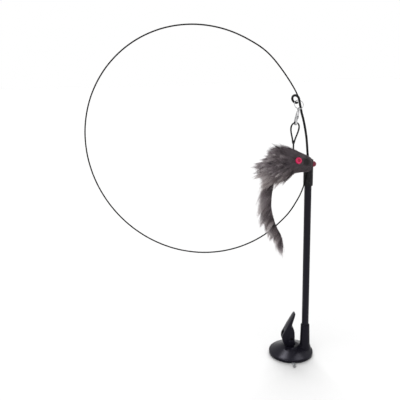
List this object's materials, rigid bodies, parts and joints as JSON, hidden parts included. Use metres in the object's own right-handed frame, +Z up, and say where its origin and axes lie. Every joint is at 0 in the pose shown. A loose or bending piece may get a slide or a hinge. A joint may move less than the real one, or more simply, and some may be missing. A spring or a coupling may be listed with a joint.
{
  "type": "suction cup cat teaser",
  "caption": "Lever suction base with an upright tube, a looped spring wire and a swivel clasp that hangs a fur mouse on an elastic cord for a cat to bat.",
  "frame": {"origin": "centre of the suction pad's flat underside", "axes": "+Z up, away from the surface that the pad holds; +X to the right, from the lever to the tube; +Y away from someone who faces the toy"},
  "size_m": [0.2767, 0.0662, 0.4184],
  "materials": {
    "clear_rubber": "clear soft rubber",
    "black_plastic": "glossy moulded",
    "black_rubber": "matt black",
    "dark_steel": "dark spring steel",
    "bright_steel": "nickel plated",
    "black_elastic": "covered elastic cord",
    "grey_fur": "dark grey fur",
    "red_bead": "glossy red bead"
  },
  "bodies": {
    "base": {"suction_pad": "clear_rubber", "base_cover": "black_plastic"},
    "stem": {"pad_stem": "black_plastic", "lever_pin": "dark_steel"},
    "lever": {"lock_lever": "black_plastic"},
    "rod": {"support_tube": "black_plastic", "tube_sleeve": "black_rubber", "wire_plug": "black_rubber", "spring_wire": "dark_steel", "end_sheath": "black_rubber"},
    "ring": {"jump_ring": "bright_steel"},
    "eye": {"swivel_eye": "bright_steel"},
    "clasp": {"clasp_body": "bright_steel", "clasp_rivet": "bright_steel"},
    "gate": {"clasp_gate": "bright_steel"},
    "toy": {"cord_loop": "black_elastic", "mouse_body": "grey_fur", "mouse_head": "grey_fur", "mouse_tail": "grey_fur", "eye_left": "red_bead", "eye_right": "red_bead", "nose": "red_bead"}
  },
  "joints": [
    {"name": "stem_lift", "type": "slide", "parent": "base", "child": "stem", "axis": [0, 0, 1], "range_m": [0, 0.00275], "deforming": ["suction_pad"]},
    {"name": "lever_fold", "type": "hinge", "parent": "stem", "child": "lever", "pos_m": [0, 0, 0.0228], "axis": [0, -1, 0], "range_deg": [0, 117]},
    {"name": "rod_turn", "type": "hinge", "parent": "base", "child": "rod", "pos_m": [0.0183, 0, 0.04], "axis": [0, 0, 1], "continuous": true},
    {"name": "ring_swing", "type": "hinge", "parent": "rod", "child": "ring", "pos_m": [0.00124, -0.01946, 0.33095], "axis": [-0.9744, -0.225, 0], "range_deg": [0, 30]},
    {"name": "eye_swing", "type": "hinge", "parent": "ring", "child": "eye", "pos_m": [0.00109, -0.02462, 0.32156], "axis": [-0.9744, -0.225, 0], "range_deg": [0, 40]},
    {"name": "clasp_swivel", "type": "hinge", "parent": "eye", "child": "clasp", "pos_m": [0.00109, -0.02462, 0.32116], "axis": [0.2079, 0, 0.9781], "range_deg": [-300, 5]},
    {"name": "gate_open", "type": "hinge", "parent": "clasp", "child": "gate", "pos_m": [-0.00039, -0.02608, 0.31258], "axis": [0.9531, 0.225, -0.2026], "range_deg": [0, 28], "stiffness_Nm_per_rad": 0.002, "springref_deg": -5.73},
    {"name": "toy_swing", "type": "hinge", "parent": "clasp", "child": "toy", "pos_m": [-0.00212, -0.02462, 0.30604], "axis": [0.22, -0.9744, -0.0468], "range_deg": [-28, 5]}
  ],
  "couplings": [
    {"joint": "stem_lift", "follows": "lever_fold", "m_per_rad": 0.001335}
  ]
}
